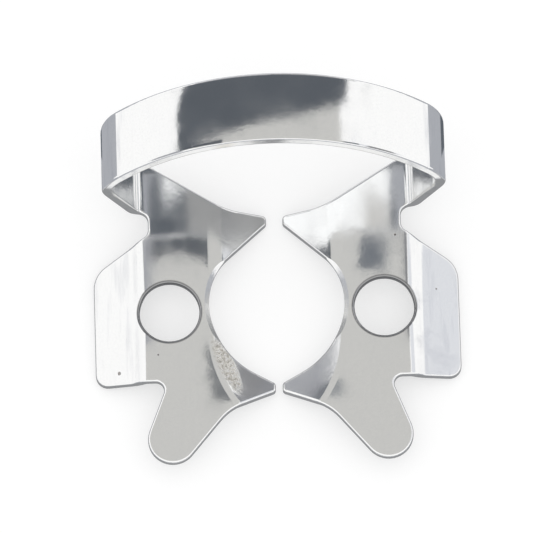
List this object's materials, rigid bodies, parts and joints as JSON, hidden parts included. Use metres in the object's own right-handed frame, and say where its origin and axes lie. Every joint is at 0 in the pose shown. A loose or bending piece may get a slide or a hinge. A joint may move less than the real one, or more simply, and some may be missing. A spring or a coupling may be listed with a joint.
{
  "type": "rubber dam clamp",
  "caption": "One-piece spring steel clamp for a molar: two winged jaws with pronged inner edges and forceps holes, joined by a high arched bow.",
  "frame": {"origin": "the middle of the tooth opening between the jaws, on the line through the two forceps holes, level with the tips of the prongs the clamp rests on", "axes": "+X across the tooth from jaw to jaw, +Y distal towards the bow, +Z occlusal, up from the jaws to the top of the bow"},
  "size_m": [0.021, 0.02, 0.0119],
  "materials": {
    "steel": "polished stainless spring steel"
  },
  "bodies": {
    "root": {"clamp": "steel"}
  },
  "joints": []
}
